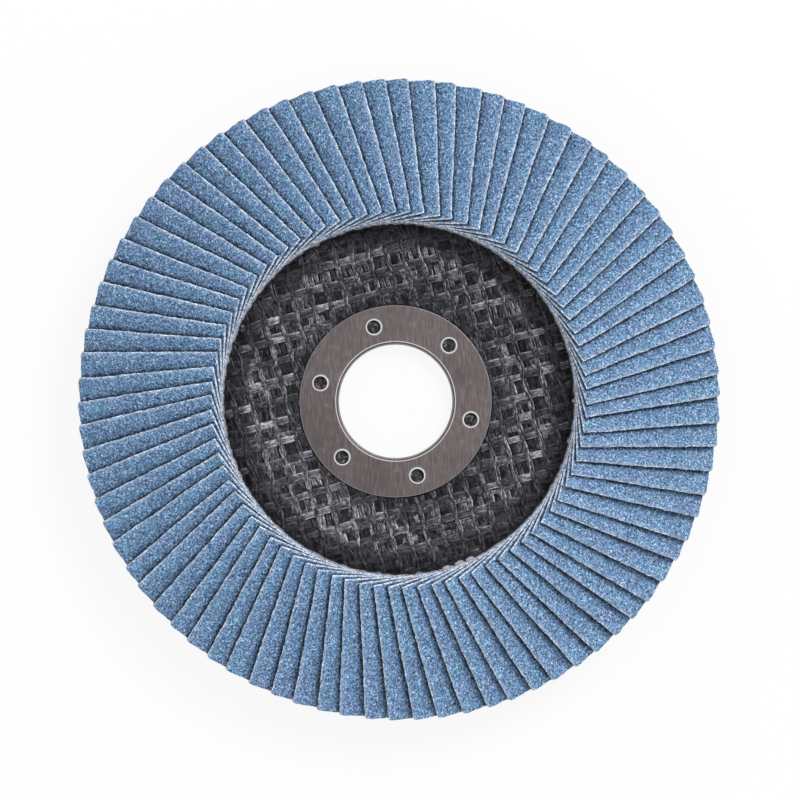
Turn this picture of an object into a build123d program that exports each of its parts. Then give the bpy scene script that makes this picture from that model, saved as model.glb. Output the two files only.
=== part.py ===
from build123d import *

import os
import random
from math import asin, atan2, cos, degrees, hypot, radians, sin, sqrt, tan

# Conical flap disc, 125 mm, for an angle grinder with a 22.23 mm flange boss.
#
# A pressed glass-fibre backing plate has a depressed hub and a rim that slopes back. A flanged steel ring
# lines its bore, a woven glass mesh covers its front, and a ring of overlapping abrasive flaps stands on
# its rim in a bed of adhesive.
#
# Millimetres. The origin is on the bore's axis, in the hub's back face, which seats on the grinder's flange.
# +Z points out of the working side, so the disc lies on its back.

# Whole disc
disc_diameter = 125.0
runout_x = 0.66
runout_y = 0.39

# Backing plate, whose section is a flat hub, a rising wall and a rim that slopes back
plate_thickness = 2.6
plate_setback = 3.5
hub_radius = 24.0
crest_radius = 31.0
crest_height = 6.6
rim_slope = 12.0
hub_fillet = 2.5
crest_fillet = 3.0

# Steel centre ring: a flange on the hub's front and a collar down the bore
bore_diameter = 22.23
ring_diameter = 37.7
ring_thickness = 0.5
ring_bend = 0.6
ring_edge = 0.15
key_hole_count = 6
key_hole_diameter = 2.7
key_hole_circle = 30.3
key_hole_angle = 46.3
key_lip_width = 0.42
key_lip_height = 0.2

# Open-weave glass mesh over the front of the plate: warp threads in pairs, with flat weft tapes across them.
# Resin fills it flush, except on the wall, where it stays open.
mesh_thickness = 0.15
mesh_clearance = 0.1
mesh_angle = 15.0
warp_pitch = 3.3
warp_width = 0.7
weft_pitch = 3.85
weft_width = 1.4

# Flaps: rectangles of abrasive cloth that lie on each other like roof tiles
flap_count = 82
flap_thickness = 0.7
flap_gap = 0.15
flap_inner_radius = 33.35
flap_reach = 9.4
flap_order_seed = 7
flaps_per_node = 2

# Adhesive bed on the rim, with the roots of the flaps pressed into it
bed_thickness = 0.9
bed_inner_setback = 0.45
bed_outer_margin = 0.4
root_height = 0.25

# Sizes that follow
plate_radius = disc_diameter / 2 - plate_setback
ring_radius = ring_diameter / 2
bore_radius = bore_diameter / 2
ring_front = plate_thickness + ring_thickness
mesh_front = plate_thickness + mesh_thickness
bed_inner_radius = flap_inner_radius + bed_inner_setback
slope = radians(rim_slope)
wall_slope = atan2(crest_height, crest_radius - hub_radius)
flap_pitch = 360 / flap_count
rim_axis = Axis((runout_x, runout_y, 0), (0, 0, 1))
rim_section = Plane(origin=(runout_x, runout_y, 0), x_dir=(1, 0, 0), z_dir=(0, -1, 0))

# A flap leans far enough for its neighbour to lie under it, where the two are closest: at the inner root.
flap_lean = (flap_thickness + flap_gap) / radians(flap_pitch)
flap_tilt = degrees(asin((flap_lean + flap_reach * sin(slope)) / flap_inner_radius))
flap_width = 2 * flap_reach / cos(radians(flap_tilt))


def rim_height(radius, depth):
    """Height of the rim's surface that lies at a depth in front of the plate's back."""
    return crest_height - (radius - crest_radius) * tan(slope) + depth / cos(slope)


def layer_line(start, end, depth):
    """The line at a depth in front of the plate's back, from one radius out to another."""
    lean = (wall_slope - slope) / 2
    reach = depth / cos((wall_slope + slope) / 2)
    hub_corner = (hub_radius - depth * tan(wall_slope / 2), depth)
    crest_corner = (crest_radius - reach * sin(lean), crest_height + reach * cos(lean))
    corners = [(start, depth), hub_corner, crest_corner, (end, rim_height(end, depth))]
    return FilletPolyline(*corners, radius=[hub_fillet + mesh_front - depth, crest_fillet + depth])


def make_layer(start, end, back, front):
    """A pressed layer of the plate, between two radii and two depths."""
    with BuildPart() as layer:
        with BuildSketch(rim_section):
            with BuildLine():
                back_line = layer_line(start, end, back)
                front_line = layer_line(start, end, front)
                Line(back_line @ 0, front_line @ 0)
                Line(back_line @ 1, front_line @ 1)
            make_face()
        revolve(axis=rim_axis)
    return layer.part


def make_backing_plate():
    """The plate, bored for the ring's collar."""
    with BuildPart() as plate:
        add(make_layer(bore_radius, plate_radius, 0, plate_thickness))
        Hole(bore_radius + ring_thickness)
    return plate.part


def make_centre_ring():
    """The steel ring: a flange with pierced holes, rolled into a collar that lines the bore."""
    with BuildPart() as ring:
        with BuildSketch(Plane.XZ):
            with BuildLine():
                FilletPolyline(
                    (bore_radius, 0),
                    (bore_radius, ring_front),
                    (ring_radius, ring_front),
                    radius=ring_bend,
                )
                Polyline(
                    (ring_radius, ring_front),
                    (ring_radius, plate_thickness),
                    (bore_radius + ring_thickness, plate_thickness),
                    (bore_radius + ring_thickness, 0),
                    (bore_radius, 0),
                )
            make_face()
        revolve(axis=Axis.Z)
        rim_edge = ring.edges().filter_by(GeomType.CIRCLE).group_by(SortBy.RADIUS)[-1].sort_by(Axis.Z)[-1]
        fillet(rim_edge, radius=ring_edge)
        with BuildSketch(Plane.XY.offset(ring_front)):
            with PolarLocations(key_hole_circle / 2, key_hole_count, start_angle=key_hole_angle):
                Circle(key_hole_diameter / 2 + key_lip_width)
        extrude(amount=key_lip_height, taper=45)
        with PolarLocations(key_hole_circle / 2, key_hole_count, start_angle=key_hole_angle):
            Hole(key_hole_diameter / 2)
    return ring.part


def mesh_openings(width, height):
    """Centres of the openings between the threads that lie whole on the wall."""
    corner = hypot(width, height) / 2
    count = int(crest_radius / min(warp_pitch, weft_pitch))
    steps = range(-count, count + 1)
    centres = [(across * warp_pitch, along * weft_pitch) for across in steps for along in steps]
    return [place for place in centres if hub_radius < hypot(*place) - corner < crest_radius - 2 * corner]


def make_glass_mesh():
    """The mesh: a thin skin over the plate, cut round for the ring, with openings between its threads."""
    width = warp_pitch - warp_width
    height = weft_pitch - weft_width
    with BuildPart() as mesh:
        add(make_layer(bore_radius, plate_radius, plate_thickness, mesh_front))
        Hole(ring_radius + mesh_clearance)
        with BuildSketch():
            with Locations(Location((runout_x, runout_y, 0), (0, 0, mesh_angle))):
                with Locations(*mesh_openings(width, height)):
                    Rectangle(width, height)
        extrude(amount=crest_height + mesh_front, mode=Mode.SUBTRACT)
    return mesh.part


def flap_plane(angle):
    """The underside of the flap at an angle: its origin on the root's inner corner, X to the free edge."""
    tilt = radians(flap_tilt)
    outward = Vector(cos(radians(angle)), sin(radians(angle)), 0)
    clockwise = Vector(sin(radians(angle)), -cos(radians(angle)), 0)
    normal = outward * sin(slope) + Vector(0, 0, cos(slope))
    height = rim_height(flap_inner_radius, mesh_front + root_height)
    root = Vector(runout_x, runout_y, height) + outward * flap_inner_radius - clockwise * flap_reach
    return Plane(
        origin=root,
        x_dir=clockwise * cos(tilt) + normal * sin(tilt),
        z_dir=normal * cos(tilt) - clockwise * sin(tilt),
    )


def flap_length():
    """The length that brings the free edge's outer top corner to the disc's diameter."""
    tilt = radians(flap_tilt)
    corner_reach = flap_reach - flap_thickness * sin(tilt)
    corner = sqrt((disc_diameter / 2) ** 2 - corner_reach**2)
    lean = (flap_width * sin(tilt) + flap_thickness * cos(tilt)) * sin(slope)
    return (corner - lean - flap_inner_radius) / cos(slope)


def flap_angles():
    """The flaps' places around the disc, each a little off its even pitch, by no more than the gap allows."""
    stray = degrees(flap_gap / 2 / (flap_inner_radius * sin(radians(flap_tilt))))
    order = random.Random(flap_order_seed)
    return [index * flap_pitch + order.uniform(-stray, stray) for index in range(flap_count)]


def make_flaps(angles):
    """Neighbouring flaps, each a solid of its own."""
    with BuildPart() as flaps:
        for angle in angles:
            with BuildSketch(flap_plane(angle)):
                Rectangle(flap_width, flap_length(), align=(Align.MIN, Align.MIN))
            extrude(amount=flap_thickness)
    return flaps.part


def make_adhesive_bed(flaps):
    """The bed on the rim, moulded around the roots of the flaps."""
    outer = plate_radius - bed_outer_margin
    with BuildPart() as bed:
        with BuildSketch(rim_section):
            with BuildLine():
                Polyline(
                    (bed_inner_radius, rim_height(bed_inner_radius, mesh_front)),
                    (outer, rim_height(outer, mesh_front)),
                    (outer, rim_height(outer, mesh_front + bed_thickness)),
                    (bed_inner_radius, rim_height(bed_inner_radius, mesh_front + bed_thickness)),
                    close=True,
                )
            make_face()
        revolve(axis=rim_axis)
        for pair in flaps:
            add(pair, mode=Mode.SUBTRACT)
    return bed.part


def write_piece(piece, name):
    """Write one piece as the node of its name."""
    piece.label = name
    export_step(piece, f"parts/{name}.step")


os.makedirs("parts", exist_ok=True)
places = flap_angles()
firsts = range(0, flap_count, flaps_per_node)
flap_groups = [make_flaps(places[first : first + flaps_per_node]) for first in firsts]
for number, group in enumerate(flap_groups, start=1):
    write_piece(group, f"flap_pair_{number:02d}")
write_piece(make_backing_plate(), "backing_plate")
write_piece(make_centre_ring(), "centre_ring")
write_piece(make_glass_mesh(), "glass_mesh")
write_piece(make_adhesive_bed(flap_groups), "adhesive_bed")
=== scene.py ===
"""Looks of the flap disc: abrasive flaps, woven glass mesh, steel ring, adhesive bead, and the stage.

Metres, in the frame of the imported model: +Z points out of the working face, towards the camera.
"""

import math

import bpy
import numpy as np
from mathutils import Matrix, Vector
from mathutils.bvhtree import BVHTree


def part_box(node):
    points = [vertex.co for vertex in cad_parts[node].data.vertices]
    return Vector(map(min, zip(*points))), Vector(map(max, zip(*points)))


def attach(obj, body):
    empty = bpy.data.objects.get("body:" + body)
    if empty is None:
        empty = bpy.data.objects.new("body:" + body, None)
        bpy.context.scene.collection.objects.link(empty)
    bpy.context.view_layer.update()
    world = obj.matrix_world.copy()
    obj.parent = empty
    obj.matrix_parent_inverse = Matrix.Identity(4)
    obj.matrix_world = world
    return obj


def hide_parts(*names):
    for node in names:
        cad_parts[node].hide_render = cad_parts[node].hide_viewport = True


MM = 0.001

# Camera: the photograph is 800 pixels wide and looks straight down at the disc
CAMERA_HEIGHT = 0.9
CAMERA_SENSOR = 36.0
FOCUS_HEIGHT = 13.5 * MM
METRES_PER_PIXEL = 0.19356 * MM
FRAME_PIXELS = 800
DISC_CENTRE_PIXEL = (398.93, 399.35)

# Stage
FLOOR_HALF_WIDTH = 2.0
FLOOR_CAMERA_SHARE = 0.88
KEY_LAMP_PLACE = (0.48, 0.50, 0.72)
KEY_LAMP_SIZE = 0.35
KEY_LAMP_POWER = 4.0

# Flap surfaces: the strip that a flap's neighbour leaves open is a fine grid, the rest a coarse one
FLAP_CELL = 0.26 * MM
FLAP_SHOWN = 6.2 * MM
FLAP_COARSE_COLUMNS = 36
FLAP_COARSE_ROWS = (0, 1, 3, 6, 50)
FLAP_SEED = 20

# Flap edges: how far the top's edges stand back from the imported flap's, over which bands, and the levels of
# the cut edge's seam and outermost line, as shares of the flap's thickness
FREE_BAND = 1.2 * MM
FREE_SETBACK = 0.16 * MM
INNER_SETBACK = 0.36 * MM
OUTER_SETBACK = 0.03 * MM
OUTER_SLANT = 0.45 * MM
OUTER_SLANT_RUN = 5.2 * MM
END_BAND = 1.0 * MM
CORNER_RADIUS = 0.4 * MM
TOP_SETBACK = 0.06 * MM
FRAY = 0.03 * MM
WORN_REACH = 0.30 * MM
SEAM_LEVEL = 0.80
LIP_LEVEL = 0.45

# Painted highlight line around the bore, as a share of the ring's radius
BORE_LINE_SHARE = 0.6225

# Woven mesh: lower tapes along the warp, flat weft tapes across them, and pairs of thin warp threads on top
WEAVE_ANGLE = math.radians(15.0)
WARP_PITCH = 3.3 * MM
WEFT_PITCH = 3.85 * MM
WARP_PAIR_SWING = 0.30 * MM
LOWER_TAPE_OFFSET = 0.58 * MM
LOWER_WEFT_OFFSET = 1.05 * MM
MESH_CLEARANCE = 0.1 * MM
PROFILE_RADII = 120
PROFILE_SPOKES = 24
THREAD_STEP = 0.27 * MM
WEAVE_SEED = 51

# Resin covers the threads towards the crest and stands higher between them beside the ring
RESIN_RADIUS = 29.4 * MM
RESIN_RUN = 1.6 * MM
SUNK_DEPTH = 0.22 * MM
RING_RESIN_RADII = (19.6 * MM, 22.6 * MM)

# Radii over which the threads' painted shade fades out beside the ring, and comes back at the crest
DIM_RING_RADII = (19.5 * MM, 22.5 * MM)
DIM_CREST_RADII = (28.8 * MM, 30.6 * MM)

# Loose fibres near the crest
HAIR_COUNT = 230
HAIR_POINTS = 7
HAIR_INNER_RADIUS = 24 * MM
HAIR_SEED = 71

# Adhesive bead. Its lumps have a place around the disc and a spread in degrees, and an extra size in mm.
BEAD_SPOKES = 1100
BEAD_SIDES = 10
BEAD_STANDOFF = 0.34 * MM
BEAD_RISE = 0.35 * MM
BEAD_LUMPS = (
    (-70.5, 7.5, 0.50), (-84, 3, 0.30), (-97, 4, 0.30), (-106, 3, 0.22), (-118, 5, 0.24), (-131, 5, 0.24),
    (-144, 4, 0.24), (-15, 3, 0.36), (-9.5, 2, 0.26), (-1.3, 2, 0.34), (-25, 4, 0.20), (-50, 5, 0.18),
    (30, 3, 0.20), (85, 8, 0.22), (118, 4, 0.26), (134, 3, 0.24), (168, 4, 0.26), (-164, 4, 0.24),
)

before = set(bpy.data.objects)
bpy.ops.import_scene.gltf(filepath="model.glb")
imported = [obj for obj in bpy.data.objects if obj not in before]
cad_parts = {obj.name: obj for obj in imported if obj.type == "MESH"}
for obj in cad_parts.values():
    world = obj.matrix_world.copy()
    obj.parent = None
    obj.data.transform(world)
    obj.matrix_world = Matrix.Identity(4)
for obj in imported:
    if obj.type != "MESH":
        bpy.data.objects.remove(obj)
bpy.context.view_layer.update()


def noise_2d(x, y, size, seed):
    """Smooth value noise between -1 and 1, with features of the size given."""
    table = np.random.default_rng(seed).uniform(-1, 1, (256, 256))
    u, v = np.broadcast_arrays(np.asarray(x) / size, np.asarray(y) / size)
    i, j = np.floor(u).astype(int), np.floor(v).astype(int)
    fu, fv = u - i, v - j
    fu, fv = fu * fu * (3 - 2 * fu), fv * fv * (3 - 2 * fv)
    low = table[i % 256, j % 256] * (1 - fu) + table[(i + 1) % 256, j % 256] * fu
    high = table[i % 256, (j + 1) % 256] * (1 - fu) + table[(i + 1) % 256, (j + 1) % 256] * fu
    return low * (1 - fv) + high * fv


def rise(value, start, end):
    """A smooth step from 0 at start to 1 at end."""
    share = np.clip((value - start) / (end - start), 0, 1)
    return share * share * (3 - 2 * share)


def make_mesh(name, points, faces, materials, slots=None):
    """A mesh object from points and faces, with its materials and each face's slot; slot 0 is smooth."""
    data = bpy.data.meshes.new(name)
    data.from_pydata(np.asarray(points).tolist(), [], faces)
    for material in materials:
        data.materials.append(material)
    slots = slots or [0] * len(faces)
    data.polygons.foreach_set("material_index", slots)
    data.polygons.foreach_set("use_smooth", [slot == 0 for slot in slots])
    data.update()
    piece = bpy.data.objects.new(name, data)
    bpy.context.scene.collection.objects.link(piece)
    return piece


def set_attribute(piece, name, values):
    """A number at each point of a piece, for its material."""
    layer = piece.data.attributes.new(name, "FLOAT", "POINT")
    layer.data.foreach_set("value", np.asarray(values, dtype=float).ravel())


def place(piece, slot, *nodes):
    """The piece rides on the part and stands for the nodes named; the slot is not used."""
    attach(piece, "root")
    if nodes:
        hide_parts(*nodes)


# Materials. The scales of their textures are in features per metre.


def new_material(name):
    """A node material, with its tree, its shader and an Object texture coordinate."""
    material = bpy.data.materials.new(name)
    material.use_nodes = True
    tree = material.node_tree
    shader = tree.nodes["Principled BSDF"]
    coords = tree.nodes.new("ShaderNodeTexCoord").outputs["Object"]
    return material, tree, shader, coords


def texture(tree, kind, coords, **inputs):
    """A texture node of the kind given, with its inputs set."""
    node = tree.nodes.new(kind)
    tree.links.new(coords, node.inputs["Vector"])
    for key, value in inputs.items():
        node.inputs[key].default_value = value
    return node


def noise(tree, coords, scale, detail=2.0):
    """A noise texture's value."""
    return texture(tree, "ShaderNodeTexNoise", coords, Scale=scale, Detail=detail).outputs["Fac"]


def attribute(tree, name):
    """A piece's own number at each point."""
    node = tree.nodes.new("ShaderNodeAttribute")
    node.attribute_name = name
    return node.outputs["Fac"]


def ramp(tree, factor, stops):
    """A colour ramp from a list of (position, colour)."""
    node = tree.nodes.new("ShaderNodeValToRGB")
    elements = node.color_ramp.elements
    while len(elements) < len(stops):
        elements.new(0.5)
    for element, (position, colour) in zip(elements, stops):
        element.position = position
        element.color = (*colour, 1)
    tree.links.new(factor, node.inputs["Fac"])
    return node.outputs["Color"]


def grey_ramp(tree, factor, stops):
    """A ramp of greys from a list of (position, level)."""
    return ramp(tree, factor, [(position, (level, level, level)) for position, level in stops])


def mapped(tree, coords, scale, angle=0.0):
    """The coordinates, turned about Z and scaled along each axis."""
    turned = tree.nodes.new("ShaderNodeMapping")
    turned.inputs["Rotation"].default_value = (0, 0, angle)
    tree.links.new(coords, turned.inputs["Vector"])
    node = tree.nodes.new("ShaderNodeMapping")
    node.inputs["Scale"].default_value = scale
    tree.links.new(turned.outputs["Vector"], node.inputs["Vector"])
    return node.outputs["Vector"]


def calculate(tree, operation, first, second):
    """A math node's result from two sockets or numbers."""
    node = tree.nodes.new("ShaderNodeMath")
    node.operation = operation
    for socket, value in zip(node.inputs, (first, second)):
        if isinstance(value, bpy.types.NodeSocket):
            tree.links.new(value, socket)
        else:
            socket.default_value = value
    return node.outputs[0]


def mix(tree, kind, factor, first, second):
    """A colour mix node's result; factor, first and second may be values or sockets."""
    node = tree.nodes.new("ShaderNodeMix")
    node.data_type = "RGBA"
    node.blend_type = kind
    for name, value in (("Factor", factor), ("A", first), ("B", second)):
        socket = [s for s in node.inputs if s.name == name and s.enabled][0]
        if isinstance(value, bpy.types.NodeSocket):
            tree.links.new(value, socket)
        else:
            socket.default_value = value
    return [s for s in node.outputs if s.enabled][0]


def bump(tree, shader, height, strength, distance, below=None):
    """Bump from a height, on top of another bump's normal if there is one."""
    node = tree.nodes.new("ShaderNodeBump")
    node.inputs["Strength"].default_value = strength
    node.inputs["Distance"].default_value = distance
    tree.links.new(height, node.inputs["Height"])
    if below is not None:
        tree.links.new(below, node.inputs["Normal"])
    tree.links.new(node.outputs["Normal"], shader.inputs["Normal"])
    return node.outputs["Normal"]


def finish(shader, roughness, specular=0.5, metallic=0.0):
    """The shader's plain numbers."""
    shader.inputs["Roughness"].default_value = roughness
    shader.inputs["Specular IOR Level"].default_value = specular
    shader.inputs["Metallic"].default_value = metallic


def separate_z(tree, coords):
    """Z of a point or direction."""
    node = tree.nodes.new("ShaderNodeSeparateXYZ")
    tree.links.new(coords, node.inputs[0])
    return node.outputs["Z"]


def plan_radius(tree, coords, centre=(0, 0)):
    """Distance of a point from a vertical axis, which is the bore's unless a centre is given."""
    node = tree.nodes.new("ShaderNodeMapping")
    node.inputs["Location"].default_value = (-centre[0], -centre[1], 0)
    node.inputs["Scale"].default_value = (1, 1, 0)
    tree.links.new(coords, node.inputs["Vector"])
    length = tree.nodes.new("ShaderNodeVectorMath")
    length.operation = "LENGTH"
    tree.links.new(node.outputs["Vector"], length.inputs[0])
    return length.outputs["Value"]


def mapped_range(tree, value, start, end):
    """0 at start to 1 at end."""
    node = tree.nodes.new("ShaderNodeMapRange")
    node.inputs["From Min"].default_value = start
    node.inputs["From Max"].default_value = end
    tree.links.new(value, node.inputs["Value"])
    return node.outputs["Result"]


def band(tree, value, start, end, soft_start, soft_end):
    """1 between start and end, and 0 outside them, with a soft edge of its own width inside each."""
    risen = mapped_range(tree, value, start, start + soft_start)
    falling = mapped_range(tree, value, end, end - soft_end)
    return calculate(tree, "MULTIPLY", risen, falling)


def grain_material():
    """Blue abrasive grain: needle-like crystals with painted white glints, dark pits, and painted shade in
    each flap's lee.
    """
    material, tree, shader, coords = new_material("blue_grain")
    first = noise(tree, mapped(tree, coords, (4500.0, 2000.0, 3200.0), 0.65), 1.0)
    second = noise(tree, mapped(tree, coords, (4500.0, 2000.0, 3200.0), -0.75), 1.0)
    needles = calculate(tree, "MAXIMUM", first, second)
    # The brightest stops paint white glints into the grain's colour: a painted highlight.
    tone = ramp(
        tree,
        needles,
        [
            (0.42, (0.022, 0.050, 0.115)),
            (0.50, (0.096, 0.196, 0.375)),
            (0.58, (0.168, 0.315, 0.535)),
            (0.66, (0.360, 0.570, 0.820)),
            (0.74, (0.830, 0.960, 1.000)),
        ],
    )
    crystals = texture(tree, "ShaderNodeTexVoronoi", coords, Scale=2900.0)
    speck = grey_ramp(tree, crystals.outputs["Color"], [(0.0, 0.60), (1.0, 1.45)])
    shade = ramp(tree, noise(tree, coords, 300.0), [(0.3, (1.03, 0.94, 0.99)), (0.7, (0.96, 1.06, 1.02))])
    uneven = grey_ramp(tree, noise(tree, coords, 2800.0), [(0.38, 0.30), (0.60, 1.45)])
    # Painted shade: the grain is darkened under and beside the free edge of the flap that covers it.
    lee = calculate(tree, "MULTIPLY", attribute(tree, "lee"), uneven)
    painted_shade = grey_ramp(tree, lee, [(0.0, 1.0), (0.28, 0.87), (0.58, 0.42), (1.0, 0.20)])
    colour = mix(tree, "MULTIPLY", 1.0, tone, speck)
    colour = mix(tree, "MULTIPLY", 1.0, colour, shade)
    colour = mix(tree, "MULTIPLY", 1.0, colour, painted_shade)
    rubbed = grey_ramp(tree, noise(tree, coords, 2300.0), [(0.42, 0.0), (0.62, 0.8)])
    wear_and_painted_highlight = calculate(tree, "MULTIPLY", attribute(tree, "wear_and_painted_highlight"), rubbed)
    colour = mix(tree, "MIX", wear_and_painted_highlight, colour, (0.56, 0.72, 0.90, 1))
    tree.links.new(colour, shader.inputs["Base Color"])
    finish(shader, 0.5, 0.4)
    below = bump(tree, shader, crystals.outputs["Distance"], 0.6, 0.1 * MM)
    bump(tree, shader, needles, 0.8, 0.25 * MM, below)
    return material


def cut_edge_material():
    """The cut edges of the cloth: pale lavender-grey fibres in fine lines."""
    material, tree, shader, coords = new_material("cut_edge")
    fibres = noise(tree, coords, 3600.0, 3.0)
    colour = ramp(
        tree,
        fibres,
        [(0.34, (0.24, 0.31, 0.45)), (0.45, (0.58, 0.67, 0.83)), (0.56, (0.82, 0.88, 0.98))],
    )
    wear = grey_ramp(tree, noise(tree, coords, 900.0), [(0.36, 0.72), (0.54, 1.18)])
    colour = mix(tree, "MULTIPLY", 1.0, colour, wear)
    stray_grain = mapped_range(tree, noise(tree, coords, 1900.0, 3.0), 0.55, 0.62)
    colour = mix(tree, "MIX", stray_grain, colour, (0.16, 0.27, 0.46, 1))
    tree.links.new(colour, shader.inputs["Base Color"])
    finish(shader, 0.85)
    bump(tree, shader, fibres, 0.8, 0.15 * MM)
    return material


def cloth_back_material():
    """The uncoated back of the cloth: fine blue-grey threads, crossed."""
    material, tree, shader, coords = new_material("cloth_back")
    along = noise(tree, mapped(tree, coords, (3600.0, 900.0, 900.0), 0.3), 1.0)
    across = noise(tree, mapped(tree, coords, (900.0, 3600.0, 900.0), 0.3), 1.0)
    threads = calculate(tree, "MAXIMUM", along, across)
    colour = ramp(tree, threads, [(0.42, (0.06, 0.08, 0.12)), (0.65, (0.22, 0.26, 0.33))])
    tree.links.new(colour, shader.inputs["Base Color"])
    finish(shader, 0.85)
    bump(tree, shader, threads, 0.6, 0.1 * MM)
    return material


def glass_material(name, along_warp, contrast):
    """A bundle of glass fibres under black resin, with fine striations along the thread."""
    material, tree, shader, coords = new_material(name)
    stretch = (3600.0, 850.0, 900.0) if along_warp else (850.0, 3600.0, 900.0)
    lines = noise(tree, mapped(tree, coords, stretch, -WEAVE_ANGLE), 1.0, 3.0)
    # The tone attribute holds each thread's random tone, with painted sheen and painted shade in it.
    tone = ramp(
        tree,
        attribute(tree, "tone"),
        [(0.0, (0.006, 0.006, 0.0065)), (0.5, (0.080, 0.078, 0.093)), (1.0, (0.44, 0.43, 0.48))],
    )
    streak = grey_ramp(tree, lines, [(0.38, 1 - 0.8 * contrast), (0.5, 1.0), (0.62, 1 + contrast)])
    patches = noise(tree, coords, 1700.0)
    cloud = grey_ramp(tree, patches, [(0.38, 1 - 0.55 * contrast), (0.62, 1 + 0.5 * contrast)])
    colour = mix(tree, "MULTIPLY", 1.0, tone, streak)
    colour = mix(tree, "MULTIPLY", 1.0, colour, cloud)
    tree.links.new(colour, shader.inputs["Base Color"])
    finish(shader, 0.45, 0.15)
    bump(tree, shader, lines, 0.7, 0.15 * MM)
    return material


def resin_material(name, dark, light):
    """Black resin with the print of a weave: uneven, with faint threads showing through.

    In front, inside the steel ring's radius, it is pressed and specked, as the ring's holes show it; its
    brightest specks are painted glints, a painted highlight.
    """
    material, tree, shader, coords = new_material(name)
    along_weft = noise(tree, mapped(tree, coords, (260.0, 1500.0, 260.0), -WEAVE_ANGLE), 1.0, 3.0)
    along_warp = noise(tree, mapped(tree, coords, (1700.0, 240.0, 240.0), -WEAVE_ANGLE), 1.0, 3.0)
    threads = calculate(tree, "MAXIMUM", along_weft, along_warp)
    patches = noise(tree, coords, 420.0, 4.0)
    colour = ramp(tree, threads, [(0.48, dark), (0.72, light)])
    cloud = grey_ramp(tree, patches, [(0.3, 0.65), (0.7, 1.35)])
    colour = mix(tree, "MULTIPLY", 1.0, colour, cloud)
    ring_radius, _, ring_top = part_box("centre_ring")[1]
    under_ring = mapped_range(tree, plan_radius(tree, coords), ring_radius, ring_radius - 0.3 * MM)
    in_front = mapped_range(tree, separate_z(tree, coords), 0.5 * ring_top, 0.6 * ring_top)
    bare_and_painted_highlight = calculate(tree, "MULTIPLY", under_ring, in_front)
    # Painted highlight: where the ring's holes show the resin, its brightest specks are painted glints.
    specks = noise(tree, coords, 1500.0, 3.0)
    pressed = grey_ramp(tree, specks, [(0.40, 0.008), (0.54, 0.025), (0.68, 0.24)])
    colour = mix(tree, "ADD", bare_and_painted_highlight, colour, pressed)
    tree.links.new(colour, shader.inputs["Base Color"])
    finish(shader, 0.46, 0.12)
    below = bump(tree, shader, threads, 0.5, 0.3 * MM)
    bump(tree, shader, patches, 0.4, 0.2 * MM, below)
    return material


def steel_material():
    """Rolled steel: warm grey with fine lines along Y and faint stains.

    Bends and edges are painted bright by their slope, a painted highlight, and so are the holes' lips and a
    line around the bore, with a dark painted shadow line inside it.
    """
    material, tree, shader, coords = new_material("rolled_steel")
    ring_radius, _, lip_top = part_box("centre_ring")[1]
    bore_line = ring_radius * BORE_LINE_SHARE
    away = plan_radius(tree, coords)
    brushed = noise(tree, mapped(tree, coords, (4200.0, 300.0, 300.0)), 1.0, 3.0)
    stains = noise(tree, mapped(tree, coords, (1100.0, 700.0, 700.0)), 1.0, 6.0)
    colour = ramp(
        tree,
        brushed,
        [(0.3, (0.150, 0.124, 0.124)), (0.5, (0.198, 0.165, 0.165)), (0.7, (0.264, 0.225, 0.225))],
    )
    blotch = grey_ramp(tree, stains, [(0.35, 0.90), (0.60, 1.02), (0.76, 1.5)])
    sheen = grey_ramp(tree, noise(tree, coords, 75.0, 1.0), [(0.35, 0.90), (0.65, 1.12)])
    dull = mix(tree, "MULTIPLY", 1.0, mix(tree, "MULTIPLY", 1.0, colour, blotch), sheen)

    # Painted highlight: bends are painted bright by their slope, and the outer edge by its radius.
    upright = separate_z(tree, tree.nodes["Texture Coordinate"].outputs["Normal"])
    turned = grey_ramp(tree, upright, [(0.25, 0.10), (0.55, 0.22), (0.85, 0.24), (0.97, 0.24), (0.995, 0.0)])
    rim = mapped_range(tree, away, ring_radius - 0.26 * MM, ring_radius - 0.16 * MM)
    bare_and_painted_highlight = calculate(tree, "MAXIMUM", turned, calculate(tree, "MULTIPLY", rim, 0.16))
    colour = mix(tree, "MIX", bare_and_painted_highlight, dull, (0.92, 0.90, 0.90, 1))

    # Painted highlight on the tops of the holes' lips and in a line around the bore.
    lips = mapped_range(tree, separate_z(tree, coords), lip_top - 0.15 * MM, lip_top - 0.08 * MM)
    painted_bore_highlight = band(tree, away, bore_line - 0.09 * MM, bore_line + 0.11 * MM, 0.06 * MM, 0.07 * MM)
    wear_and_painted_highlight = calculate(tree, "MAXIMUM", painted_bore_highlight, lips)
    colour = mix(tree, "MIX", wear_and_painted_highlight, colour, (0.95, 0.94, 0.94, 1))

    # Painted shadow: a dark line just inside the bore's highlight line.
    painted_groove_shadow = band(tree, away, bore_line - 0.37 * MM, bore_line - 0.14 * MM, 0.06 * MM, 0.06 * MM)
    colour = mix(tree, "MIX", painted_groove_shadow, colour, (0.05, 0.045, 0.045, 1))
    tree.links.new(colour, shader.inputs["Base Color"])
    finish(shader, 0.42, 0.4, 0.6)
    bump(tree, shader, brushed, 0.25, 0.03 * MM)
    return material


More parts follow.
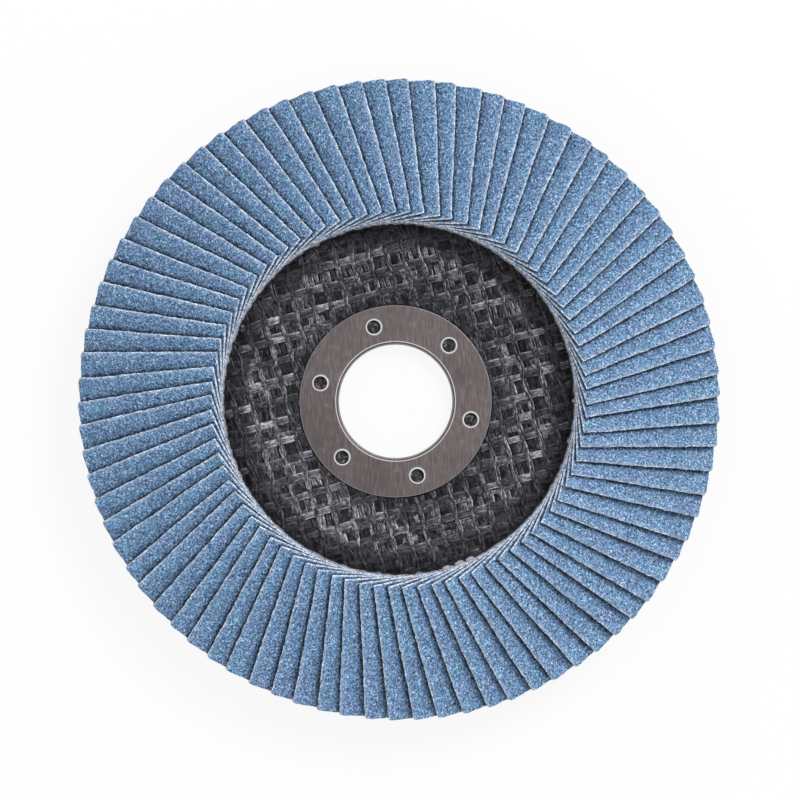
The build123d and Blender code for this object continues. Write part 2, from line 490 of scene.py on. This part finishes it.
def adhesive_material(centre, foot_radius):
    """Cured pale adhesive, faintly lavender, with small pits.

    Black resin stains its foot unevenly, except where its own swollen lumps cover the stain.
    """
    material, tree, shader, coords = new_material("adhesive")
    lumps = noise(tree, coords, 1400.0, 4.0)
    colour = ramp(tree, lumps, [(0.3, (0.36, 0.36, 0.42)), (0.7, (0.68, 0.67, 0.74))])
    uneven = calculate(tree, "MULTIPLY", noise(tree, coords, 700.0), 0.8 * MM)
    reach = calculate(tree, "ADD", plan_radius(tree, coords, centre), uneven)
    clean = mapped_range(tree, reach, foot_radius + 0.55 * MM, foot_radius + 0.75 * MM)
    clean = calculate(tree, "MAXIMUM", clean, attribute(tree, "swell"))
    colour = mix(tree, "MIX", clean, (0.02, 0.02, 0.022, 1), colour)
    tree.links.new(colour, shader.inputs["Base Color"])
    finish(shader, 0.55)
    bump(tree, shader, lumps, 0.6, 0.15 * MM)
    return material


# Flaps


def flap_solids(node):
    """The corners of each flap in a node, eight apiece, found by joining triangles that share corners."""
    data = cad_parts[node].data
    places = np.round(np.array([v.co for v in data.vertices]), 7)
    corners, index = np.unique(places, axis=0, return_inverse=True)
    index = index.ravel()
    group = np.arange(len(corners))
    for polygon in data.polygons:
        linked = index[list(polygon.vertices)]
        low = group[linked].min()
        for other in group[linked]:
            group[group == other] = low
    return [corners[group == g] for g in np.unique(group)]


def flap_frame(corners, centre):
    """A packed flap's inner root corner underneath, and its edges: to the free edge, outwards, and up."""
    radii = np.hypot(corners[:, 0] - centre[0], corners[:, 1] - centre[1])
    inner = corners[np.argsort(radii)[:4]]
    root = inner[np.argmin(inner[:, 2])]
    steps = corners - root
    order = np.argsort(np.linalg.norm(steps, axis=1))
    thick, across = steps[order[1]], steps[order[2]]
    square = 1e-3 * np.linalg.norm(thick) * np.linalg.norm(across)
    along = [s for s in steps[order[3:]] if abs(s @ thick) < square and abs(s @ across) < 20 * square][0]
    return root, across, along, thick


def flap_lee(points, cover):
    """How deep each point lies under or beside the free edge of the flap that covers it, from 0 to 1, for
    painted shade.
    """
    root, across, along, thick = cover
    lip = root + across + LIP_LEVEL * thick
    normal = np.array([along[1], -along[0]]) / np.hypot(along[0], along[1])
    if normal @ across[:2] < 0:
        normal = -normal
    distance = (points[..., :2] - lip[:2]) @ normal
    run = (points - lip) @ (along / np.linalg.norm(along))
    distance = np.maximum(distance, 1.2 * (0.12 * MM - run))
    scallops = 0.17 * noise_2d(run, root[0], 0.42 * MM, 31) + 0.11 * noise_2d(run, root[1], 2.2 * MM, 32)
    return np.exp(-np.clip(distance / MM - scallops - 0.02, 0, None) / 0.21)


class Flap:
    """The form that stands for one packed flap.

    Its grained top is a fine grid where it shows, its cut edges are ragged, and the cloth's back is flat.
    X runs across the flap to its free edge, Y outwards along it, and Z up through it.
    """

    def __init__(self, number, packed):
        self.root, *edges = packed
        self.width, self.length, self.height = (np.linalg.norm(edge) for edge in edges)
        self.across, self.along, self.thick = (edge / np.linalg.norm(edge) for edge in edges)
        self.start = self.width - FLAP_SHOWN
        self.shift = number * 17.0 * MM

    def at(self, x, y, z):
        """Points of the flap's own axes in the part's frame."""
        return self.root + x[..., None] * self.across + y[..., None] * self.along + z[..., None] * self.thick

    def near_free_edge(self, x):
        """0 on the flap to 1 at its free edge."""
        return np.clip((x - (self.width - FREE_BAND)) / FREE_BAND, 0, 1)

    def ragged(self, y):
        """How far the free edge stands back: bowed, wavy and nicked, and rounded at its outer corner."""
        bow, wave, nick = (noise_2d(y + self.shift, self.shift, size * MM, 4) for size in (7.0, 1.1, 0.38))
        corner = np.clip((y - (self.length - CORNER_RADIUS)) / CORNER_RADIUS, 0, 1)
        rounding = CORNER_RADIUS * (1 - np.sqrt(1 - 0.98 * corner**2))
        return MM * (0.09 * (1 + bow) + 0.06 * (1 + wave) + 0.08 * (1 + nick)) + rounding

    def slant(self, x):
        """How much further out the outer end lies, away from the free edge."""
        return OUTER_SLANT * np.clip((self.width - x) / OUTER_SLANT_RUN, 0, 1)

    def top(self, x, y):
        """Points of the grained top, with its edges drawn back."""
        shift = self.shift
        free = self.near_free_edge(x)
        inner = np.clip((END_BAND - y) / END_BAND, 0, 1)
        outer = np.clip((y - (self.length - END_BAND)) / END_BAND, 0, 1)
        fringe = 1.0 + 0.7 * noise_2d(y + shift, 0, 0.6 * MM, 3) + 0.6 * noise_2d(y + shift, MM, 1.7 * MM, 3)
        frayed = noise_2d(x + shift, shift, 0.5 * MM, 5)
        x_top = x - free * (self.ragged(y) + FREE_SETBACK * np.clip(fringe, 0.05, None))
        y_top = y + inner * (INNER_SETBACK + 0.09 * MM * frayed)
        y_top = y_top + outer * (self.slant(x) - OUTER_SETBACK - 0.05 * MM * (1 + frayed))
        shown = np.clip((x - self.start) / (0.6 * MM), 0, 1)
        grain = 0.055 * noise_2d(x + shift, y, 0.42 * MM, 6) + 0.035 * noise_2d(x, y + shift, 0.8 * MM, 7)
        waves = 0.05 * noise_2d(x + shift, y, 3.0 * MM, 8)
        z_top = self.height - TOP_SETBACK + MM * shown * (grain + waves) - 0.08 * MM * free**4
        return self.at(x_top, y_top, z_top)

    def top_grid(self):
        """Places and faces of the top, with a fine and a coarse grid, and the loop of points round it."""
        fine_x = np.linspace(self.start, self.width, int(FLAP_SHOWN / FLAP_CELL) + 1)
        fine_y = np.linspace(0, self.length, int(self.length / FLAP_CELL) + 1)
        coarse_x = np.linspace(0, self.start, FLAP_COARSE_COLUMNS + 1)[:-1]
        kept_rows = [*FLAP_COARSE_ROWS, len(fine_y) - 1]
        fine_places = np.meshgrid(fine_x, fine_y, indexing="ij")
        coarse_places = np.meshgrid(coarse_x, fine_y[kept_rows], indexing="ij")
        x, y = (np.concatenate([a.ravel(), b.ravel()]) for a, b in zip(fine_places, coarse_places))
        fine = np.arange(fine_places[0].size).reshape(fine_places[0].shape)
        coarse = fine.size + np.arange(coarse_places[0].size).reshape(coarse_places[0].shape)
        faces = []
        for grid in (fine, coarse):
            quads = np.stack([grid[:-1, :-1], grid[1:, :-1], grid[1:, 1:], grid[:-1, 1:]], -1)
            faces += quads.reshape(-1, 4).tolist()
        for row, (low, high) in enumerate(zip(kept_rows[:-1], kept_rows[1:])):
            faces.append([int(coarse[-1, row]), *fine[0, low : high + 1].tolist(), int(coarse[-1, row + 1])])
        inner_end = [*coarse[:, 0], *fine[:, 0]]
        outer_end = [*fine[-2::-1, -1], *coarse[::-1, -1]]
        loop = np.array([*inner_end, *fine[-1, 1:], *outer_end, *coarse[0, -2:0:-1]])
        return x, y, faces, loop

    def sides(self, x, y, upper, jitter):
        """Three lines round the flap, below the top's edge: the seam, the outermost line and the foot."""
        side_x = np.where(x > self.width - 1e-9, 1.0, np.where(x < 1e-9, -1.0, 0.0))
        side_y = np.where(y > self.length - 1e-9, 1.0, np.where(y < 1e-9, -1.0, 0.0))
        slant = np.where(side_y > 0, self.slant(x), 0)
        x, y = x - self.near_free_edge(x) * self.ragged(y), y + slant
        fray = FRAY * (1 + jitter[0])
        outermost = self.at(x - side_x * fray, y - side_y * fray, np.zeros(len(x)))
        lip = outermost + self.height * (LIP_LEVEL + 0.06 * jitter[1])[:, None] * self.thick
        below_top = upper - self.height * (1 - SEAM_LEVEL) * self.thick
        seam = below_top * 0.7 + (outermost + self.height * SEAM_LEVEL * self.thick) * 0.3
        foot = outermost - 0.05 * MM * (side_x[:, None] * self.across + side_y[:, None] * self.along)
        return seam, lip, foot

    def make_piece(self, name, cover, materials, chance):
        """The flap's piece; its slots are the grain, the cut edge and the cloth's back."""
        x, y, faces, loop = self.top_grid()
        top = self.top(x, y)
        slots = [0] * len(faces)
        count = len(loop)
        rings = [loop, *(len(x) + level * count + np.arange(count) for level in range(3))]
        for level, (high, low) in enumerate(zip(rings[:-1], rings[1:])):
            walls = np.stack([high, low, np.roll(low, -1), np.roll(high, -1)], -1)
            faces += walls.tolist()
            slots += [level] * count
        faces.append(rings[-1][::-1].tolist())
        slots.append(2)
        jitter = chance.uniform(-1, 1, (2, count))
        points = np.concatenate([top, *self.sides(x[loop], y[loop], top[loop], jitter)])
        piece = make_mesh(name, points, faces, materials, slots)
        # The lee attribute drives the grain's painted shade.
        set_attribute(piece, "lee", flap_lee(points, cover))
        wear_and_painted_highlight = np.zeros(len(points))
        wear_and_painted_highlight[: len(x)] = np.exp((x - self.width) / WORN_REACH)
        set_attribute(piece, "wear_and_painted_highlight", wear_and_painted_highlight)
        return piece


def make_flaps(centre):
    """Every flap of every flap node, each covered by the next one round. Returns how many there are."""
    materials = [grain_material(), cut_edge_material(), cloth_back_material()]
    chance = np.random.default_rng(FLAP_SEED)
    flaps = []
    for node in sorted(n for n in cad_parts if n.startswith("flap_pair")):
        for corners in flap_solids(node):
            packed = flap_frame(corners, centre)
            away = packed[0][:2] - centre
            flaps.append((math.atan2(away[1], away[0]) % math.tau, node, packed))
    flaps.sort(key=lambda row: row[0])
    for number, (_, node, packed) in enumerate(flaps, start=1):
        cover = flaps[number % len(flaps)][2]
        piece = Flap(number, packed).make_piece(f"flap_{number:02d}", cover, materials, chance)
        place(piece, "flaps", node)
    return len(flaps)


# Woven mesh


def front_profile(centre, outer):
    """Height of the mesh's front against radius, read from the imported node."""
    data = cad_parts["glass_mesh"].data
    tree = BVHTree.FromPolygons([v.co for v in data.vertices], [p.vertices for p in data.polygons])
    radii = np.linspace(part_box("centre_ring")[1].x + 1.0 * MM, outer, PROFILE_RADII)
    spokes = [(math.cos(angle), math.sin(angle)) for angle in np.linspace(0.1, 6.2, PROFILE_SPOKES)]
    down = Vector((0, 0, -1))
    heights = []
    for radius in radii:
        places = [Vector((centre[0] + radius * x, centre[1] + radius * y, 0.1)) for x, y in spokes]
        hits = [tree.ray_cast(place_above, down)[0] for place_above in places]
        heights.append(max(hit.z for hit in hits if hit))
    return radii, np.array(heights)


class Threads:
    """Threads of the mesh, gathered to make one piece."""

    def __init__(self):
        self.points, self.faces, self.tones, self.count = [], [], [], 0

    def add(self, points, tones, turned):
        """One thread, swept through rows of points and closed at both ends, with its faces turned out."""
        rows, columns = points.shape[:2]
        grid = self.count + np.arange(rows * columns).reshape(rows, columns)
        if turned:
            grid = grid[:, ::-1]
        following = np.roll(grid, -1, axis=1)
        quads = np.stack([grid[:-1], grid[1:], following[1:], following[:-1]], -1)
        self.faces += [*quads.reshape(-1, 4).tolist(), grid[0].tolist(), grid[-1][::-1].tolist()]
        self.points.append(points.reshape(-1, 3))
        self.tones.append(np.broadcast_to(tones, (rows, columns)).ravel())
        self.count += rows * columns

    def make_piece(self, name, material):
        """The threads gathered so far, as one piece."""
        piece = make_mesh(name, np.concatenate(self.points), self.faces, [material])
        set_attribute(piece, "tone", np.concatenate(self.tones))
        place(piece, "mesh")


class Weave:
    """The fabric that the threads follow, laid on the plate's front.

    U runs along the weft and V along the warp.
    """

    def __init__(self, centre, outer):
        self.centre = np.array(centre)
        self.outer = outer
        self.ring_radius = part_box("centre_ring")[1].x + MESH_CLEARANCE
        self.radii, self.heights = front_profile(centre, outer)
        self.slopes = np.gradient(self.heights, self.radii)
        self.chance = np.random.default_rng(WEAVE_SEED).uniform(0, 1, (64, 64))

    def plan(self, u, v):
        """Plan position of a point of the fabric."""
        cos, sin = math.cos(WEAVE_ANGLE), math.sin(WEAVE_ANGLE)
        return self.centre[0] + u * cos - v * sin, self.centre[1] + u * sin + v * cos

    def lay(self, u, v, lift):
        """Points of the fabric at a lift in millimetres above the plate's front, square to it."""
        x, y = self.plan(u, v)
        away_x, away_y = x - self.centre[0], y - self.centre[1]
        radius = np.hypot(away_x, away_y)
        lift = lift * MM * self.standing(x, y, radius) - SUNK_DEPTH * self.sunk(x, y, radius)
        slope = np.interp(radius, self.radii, self.slopes)
        upright = 1 / np.sqrt(1 + slope**2)
        out = -lift * slope * upright / radius
        z = np.interp(radius, self.radii, self.heights) + lift * upright
        return np.stack([x + out * away_x, y + out * away_y, z], -1)

    def sunk(self, x, y, radius):
        """1 where resin covers the threads near the crest, 0 where they stand clear."""
        return rise(radius + 0.5 * MM * noise_2d(x, y, 2.4 * MM, 41), RESIN_RADIUS, RESIN_RADIUS + RESIN_RUN)

    def standing(self, x, y, radius):
        """How far the threads stand out: less beside the ring, where resin has run."""
        return 0.6 + 0.4 * rise(radius + 0.6 * MM * noise_2d(x, y, 2.0 * MM, 42), *RING_RESIN_RADII)

    def runs(self, u, v):
        """The stretches of a thread that lie between the ring and the flaps."""
        x, y = self.plan(u, v)
        radius = np.hypot(x - self.centre[0], y - self.centre[1])
        inside = (np.hypot(x, y) > self.ring_radius) & (radius < self.outer)
        edges = np.flatnonzero(np.diff(np.concatenate([[0], inside.astype(int), [0]])))
        return [slice(a, b) for a, b in zip(edges[::2], edges[1::2]) if b - a > 3]

    def add_thread(self, threads, along_warp, position, wander, lift, half_width, thick, ridges, tone):
        """One thread: a flat ridged section swept along the fabric, cut where the ring and flaps are.

        Wander, lift and half_width follow the run along the thread. Lift and thick are in millimetres.
        """
        run = np.arange(-self.outer, self.outer, THREAD_STEP)
        side = position + wander(run)
        u, v = (side, run) if along_warp else (run, side)
        across = np.linspace(-1, 1, ridges * 4 + 1)
        crown = 1 - 0.5 * across**4 - 0.16 * (1 - np.cos(2 * math.pi * ridges * (across + 1) / 2))
        outline = np.concatenate([0.80 + 0.55 * across**4 + 0.12 * across, [0.8, 0.8]])
        for part in self.runs(u, v):
            middle, here = side[part][:, None], run[part][:, None]
            spread = middle + half_width(here) * np.concatenate([across, [0.97, -0.97]])
            level = lift(here) + thick * np.concatenate([crown, [-0.35, -0.35]])
            level = level + 0.012 * noise_2d(spread, here, 0.35 * MM, 43)
            along = here + 0 * spread
            points = self.lay(spread, along, level) if along_warp else self.lay(along, spread, level)
            threads.add(points, outline * tone(here, points), along_warp)

    def cell(self, index, run, pitch):
        """A thread's own random number from 0 to 1 in each cell along it."""
        return self.chance[index % 64, np.floor(run / pitch + 0.5).astype(int) % 64]

    def brightness(self, points, plain, lit, along_warp):
        """Tone of a stretch of thread: plain, or with a painted sheen where the wall it lies on faces along
        the thread.
        """
        away = points[..., :2] - self.centre
        radius = np.hypot(away[..., 0], away[..., 1])
        facing = np.abs(away[..., 1] if along_warp else away[..., 0]) / radius
        # Painted shade: the threads are darker beside the ring and towards the crest.
        near_ring = 0.62 + 0.38 * rise(radius, *DIM_RING_RADII)
        near_crest = 1 - 0.42 * rise(radius, *DIM_CREST_RADII)
        return (plain + (lit - plain) * facing**1.5) * near_ring * near_crest

    def add_lower_warp(self, threads, index):
        """Two thin tapes along the warp, under the rest."""
        for side, seed in ((-1, 0), (1, 20)):
            shift = index * 9.0 * MM + seed * MM

            def tone(run, points):
                cell = self.cell(index + seed, run, WEFT_PITCH)
                return self.brightness(points, 0.12 + 0.72 * cell**1.6, 0.08 + 0.82 * cell**1.4, True)

            self.add_thread(
                threads,
                along_warp=True,
                position=index * WARP_PITCH + side * LOWER_TAPE_OFFSET,
                wander=lambda run: 0.26 * MM * noise_2d(run, shift, 3.6 * MM, 61),
                lift=lambda run: 0.03 * noise_2d(run, shift, 2.0 * MM, 60),
                half_width=lambda run: MM * (0.42 + 0.16 * noise_2d(run, shift, 1.9 * MM, 62)),
                thick=0.10,
                ridges=1,
                tone=tone,
            )

    def add_lower_weft(self, threads, index):
        """One thin tape beside each weft tape, on either side of it."""
        shift = index * 9.0 * MM
        side = 1 if self.chance[index % 64, 9] > 0.5 else -1

        def tone(run, points):
            cell = self.cell(index + 40, run, WARP_PITCH)
            return self.brightness(points, 0.12 + 0.55 * cell, 0.10 + 0.75 * cell, False)

        self.add_thread(
            threads,
            along_warp=False,
            position=(index + 0.5) * WEFT_PITCH + side * LOWER_WEFT_OFFSET,
            wander=lambda run: 0.22 * MM * noise_2d(run, shift, 3.0 * MM, 67),
            lift=lambda run: 0.05 + 0.04 * np.cos(2 * math.pi * run / WARP_PITCH),
            half_width=lambda run: MM * (0.36 + 0.10 * noise_2d(run, shift, 2.0 * MM, 68)),
            thick=0.10,
            ridges=2,
            tone=tone,
        )

    def add_weft(self, threads, index):
        """A flat weft tape, painted brightest where it floats between two warp pairs, a painted highlight,
        with painted shade by the crossings.
        """
        shift = index * 9.0 * MM

        def tone(run, points):
            along = (run / WARP_PITCH + 0.5) % 1 - 0.5
            # Painted light: the float is darker beside the warp crossings and lighter towards one end.
            float_painted_light = (0.55 + 0.45 * rise(0.5 - abs(along), 0.09, 0.20)) * (1 + 0.45 * along)
            cell = self.cell(index, run, WARP_PITCH)
            plain, lit = float_painted_light * (0.42 + 0.28 * cell), float_painted_light * (0.40 + 0.80 * cell**1.3)
            return self.brightness(points, plain, lit, False)

        self.add_thread(
            threads,
            along_warp=False,
            position=(index + 0.5) * WEFT_PITCH,
            wander=lambda run: 0.12 * MM * noise_2d(run, shift, 5.0 * MM, 63),
            lift=lambda run: 0.13 + 0.06 * np.cos(2 * math.pi * run / WARP_PITCH),
            half_width=lambda run: MM * (0.66 + 0.10 * noise_2d(run, shift, 1.8 * MM, 64)),
            thick=0.17,
            ridges=2,
            tone=tone,
        )

    def add_warp_pair(self, threads, index):
        """Two thin warp threads that cross over and under each other between the weft tapes."""
        shift = index * 9.0 * MM
        for sign in (1, -1):

            def wander(run):
                swing = sign * WARP_PAIR_SWING * np.cos(math.pi * run / WEFT_PITCH)
                return swing + 0.12 * MM * noise_2d(run, shift + 40 * MM, 3.0 * MM, 65)

            def half_width(run):
                return MM * (0.25 + 0.07 * noise_2d(run, shift + sign * 20 * MM, 1.5 * MM, 66))

            def tone(run, points):
                cell = self.cell(index + 12 + sign, run, WEFT_PITCH / 2)
                return self.brightness(points, 0.46 + 0.32 * cell, 0.42 + 0.44 * cell, True)

            self.add_thread(
                threads,
                along_warp=True,
                position=(index + 0.5) * WARP_PITCH,
                wander=wander,
                lift=lambda run: 0.13 + sign * 0.14 * np.sin(math.pi * run / WEFT_PITCH) ** 2,
                half_width=half_width,
                thick=0.17,
                ridges=1,
                tone=tone,
            )


def make_weave(centre, outer):
    """The mesh where it shows, from the ring to the flaps' foot."""
    weave = Weave(centre, outer)
    reach = int(outer / min(WARP_PITCH, WEFT_PITCH)) + 1
    lower, weft, warp = Threads(), Threads(), Threads()
    for index in range(-reach, reach + 1):
        weave.add_lower_warp(lower, index)
        weave.add_lower_weft(lower, index)
        weave.add_weft(weft, index)
        weave.add_warp_pair(warp, index)
    lower.make_piece("glass_lower", glass_material("glass_lower", True, 0.8))
    weft.make_piece("glass_weft", glass_material("glass_weft", False, 0.6))
    warp.make_piece("glass_warp", glass_material("glass_warp", True, 0.8))
    make_hairs(weave)


def make_hairs(weave):
    """Loose glass fibres, three-sided, that stray over the dark resin near the crest."""
    hairs = Threads()
    chance = np.random.default_rng(HAIR_SEED)
    for _ in range(HAIR_COUNT):
        azimuth, radius = chance.uniform(0, 2 * math.pi), chance.uniform(26.0, 33.0) * MM
        heading, bend = chance.normal(math.pi / 2, 0.40), chance.uniform(-0.5, 0.5)
        length, thick = chance.uniform(1.6, 5.0) * MM, chance.uniform(0.030, 0.060) * MM
        turn = heading + bend * np.linspace(-0.5, 0.5, HAIR_POINTS)
        u = radius * math.cos(azimuth) + np.cumsum(np.cos(turn)) * length / HAIR_POINTS
        v = radius * math.sin(azimuth) + np.cumsum(np.sin(turn)) * length / HAIR_POINTS
        x, y = weave.plan(u, v)
        away = np.hypot(x - weave.centre[0], y - weave.centre[1])
        if away.max() > weave.outer or away.min() < HAIR_INNER_RADIUS:
            continue
        z = np.interp(away, weave.radii, weave.heights) + 0.03 * MM
        spine = np.stack([x, y, z], -1)
        side = np.stack([-np.sin(turn + WEAVE_ANGLE), np.cos(turn + WEAVE_ANGLE), 0 * turn], -1) * thick
        up = np.array([0, 0, 1.4 * thick])
        hairs.add(np.stack([spine - side, spine + side, spine + up], 1), chance.uniform(0.42, 0.95), True)
    hairs.make_piece("glass_hairs", glass_material("glass_hairs", True, 0.5))


def make_bead(centre, foot_radius, flap_count):
    """Adhesive squeezed out at the foot of the flaps, in scalloped lumps here and there, one to a flap."""
    angle = np.linspace(0, 2 * math.pi, BEAD_SPOKES, endpoint=False)
    arc = angle * foot_radius
    size = 0.10 + 0.06 * noise_2d(arc, 0, 1.6 * MM, 21) + 0.05 * noise_2d(arc, 0, 0.6 * MM, 22)
    scallops = np.abs(np.cos(angle * flap_count / 2 + 0.5 * noise_2d(arc, MM, 5.0 * MM, 23)))
    for middle, spread, extra in BEAD_LUMPS:
        off = (np.degrees(angle) - middle + 180) % 360 - 180
        size = size + extra * np.exp(-((off / spread) ** 4)) * (0.25 + 0.85 * scallops)
    size = np.clip(size, 0.06, None) * MM
    radii, heights = front_profile(centre, foot_radius + 0.6 * MM)
    ground = np.interp(foot_radius, radii, heights)
    turns = 2 * math.pi * np.arange(BEAD_SIDES) / BEAD_SIDES
    radius = foot_radius + BEAD_STANDOFF + size * np.cos(turns)[:, None]
    z = ground + BEAD_RISE + size * (0.4 + 1.1 * np.sin(turns)[:, None])
    points = np.stack([centre[0] + radius * np.cos(angle), centre[1] + radius * np.sin(angle), z], -1)
    grid = np.arange(BEAD_SIDES * BEAD_SPOKES).reshape(BEAD_SIDES, BEAD_SPOKES)
    down, right = np.roll(grid, -1, axis=0), np.roll(grid, -1, axis=1)
    faces = np.stack([grid, right, np.roll(down, -1, axis=1), down], -1).reshape(-1, 4).tolist()
    material = adhesive_material(centre, foot_radius)
    piece = make_mesh("adhesive_bead", points.reshape(-1, 3), faces, [material])
    set_attribute(piece, "swell", np.broadcast_to(rise(size / MM, 0.24, 0.34), radius.shape))
    place(piece, "adhesive")


def finish_nodes(centre, foot_radius):
    """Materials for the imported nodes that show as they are."""
    laminate = resin_material("black_laminate", (0.012, 0.012, 0.013), (0.060, 0.060, 0.066))
    resin = resin_material("black_resin", (0.010, 0.010, 0.013), (0.074, 0.071, 0.084))
    for node, material in (
        ("centre_ring", steel_material()),
        ("backing_plate", laminate),
        ("glass_mesh", resin),
        ("adhesive_bed", adhesive_material(centre, foot_radius)),
    ):
        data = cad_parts[node].data
        data.materials.clear()
        data.materials.append(material)


# Stage


def make_stage():
    """A white floor, which keeps a faint shadow of the disc."""
    size = FLOOR_HALF_WIDTH
    corners = [(-size, -size, 0), (size, -size, 0), (size, size, 0), (-size, size, 0)]
    floor = make_mesh("floor", corners, [(0, 1, 2, 3)], [])
    material = bpy.data.materials.new("white_floor")
    material.use_nodes = True
    tree = material.node_tree
    tree.nodes.clear()
    output = tree.nodes.new("ShaderNodeOutputMaterial")
    diffuse = tree.nodes.new("ShaderNodeBsdfDiffuse")
    diffuse.inputs["Color"].default_value = (0.98, 0.98, 0.98, 1)
    white = tree.nodes.new("ShaderNodeEmission")
    path = tree.nodes.new("ShaderNodeLightPath")
    mirrored = calculate(tree, "MAXIMUM", path.outputs["Is Glossy Ray"], path.outputs["Is Transmission Ray"])
    seen = calculate(tree, "MULTIPLY", path.outputs["Is Camera Ray"], FLOOR_CAMERA_SHARE)
    share = calculate(tree, "MAXIMUM", seen, mirrored)
    blend = tree.nodes.new("ShaderNodeMixShader")
    tree.links.new(share, blend.inputs["Fac"])
    tree.links.new(diffuse.outputs[0], blend.inputs[1])
    tree.links.new(white.outputs[0], blend.inputs[2])
    tree.links.new(blend.outputs[0], output.inputs["Surface"])
    floor.data.materials.append(material)


def make_lamp(name, place_at, size, power):
    """A square area lamp that faces the disc."""
    data = bpy.data.lights.new(name, "AREA")
    data.size = size
    data.energy = power
    lamp = bpy.data.objects.new(name, data)
    bpy.context.scene.collection.objects.link(lamp)
    lamp.location = place_at
    lamp.rotation_euler = (-Vector(place_at)).to_track_quat("-Z", "Y").to_euler()


def make_light():
    """A light tent: bright walls, a dimmer ceiling, and a soft lamp at the upper right."""
    world = bpy.data.worlds.new("studio")
    bpy.context.scene.world = world
    world.use_nodes = True
    tree = world.node_tree
    direction = tree.nodes.new("ShaderNodeTexCoord").outputs["Generated"]
    height = tree.nodes.new("ShaderNodeSeparateXYZ")
    tree.links.new(direction, height.inputs[0])
    level = grey_ramp(tree, height.outputs["Z"], [(0.0, 0.98), (0.55, 0.82), (0.95, 0.53)])
    background = tree.nodes["Background"]
    tree.links.new(level, background.inputs["Color"])
    background.inputs["Strength"].default_value = 1.0
    make_lamp("key", KEY_LAMP_PLACE, KEY_LAMP_SIZE, KEY_LAMP_POWER)


def make_camera(centre):
    """The camera looks straight down, with the flap ring where the photograph has it."""
    data = bpy.data.cameras.new("camera")
    data.sensor_width = CAMERA_SENSOR
    half_view = METRES_PER_PIXEL * FRAME_PIXELS / 2
    data.lens = CAMERA_SENSOR / 2 * CAMERA_HEIGHT / half_view
    camera = bpy.data.objects.new("camera", data)
    bpy.context.scene.collection.objects.link(camera)
    middle = FRAME_PIXELS / 2
    camera.location = (
        centre[0] - (DISC_CENTRE_PIXEL[0] - middle) * METRES_PER_PIXEL,
        centre[1] + (DISC_CENTRE_PIXEL[1] - middle) * METRES_PER_PIXEL,
        FOCUS_HEIGHT + CAMERA_HEIGHT,
    )
    bpy.context.scene.camera = camera


bpy.context.scene.view_settings.view_transform = "Standard"
plate_low, plate_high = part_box("backing_plate")
rim_centre = ((plate_low.x + plate_high.x) / 2, (plate_low.y + plate_high.y) / 2)
bed_points = np.array([v.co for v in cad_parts["adhesive_bed"].data.vertices])
bed_radius = np.hypot(bed_points[:, 0] - rim_centre[0], bed_points[:, 1] - rim_centre[1]).min()

make_camera(rim_centre)
make_light()
make_stage()
finish_nodes(rim_centre, bed_radius)
flap_count = make_flaps(np.array(rim_centre))
make_weave(rim_centre, bed_radius + 0.15 * MM)
make_bead(rim_centre, bed_radius, flap_count)
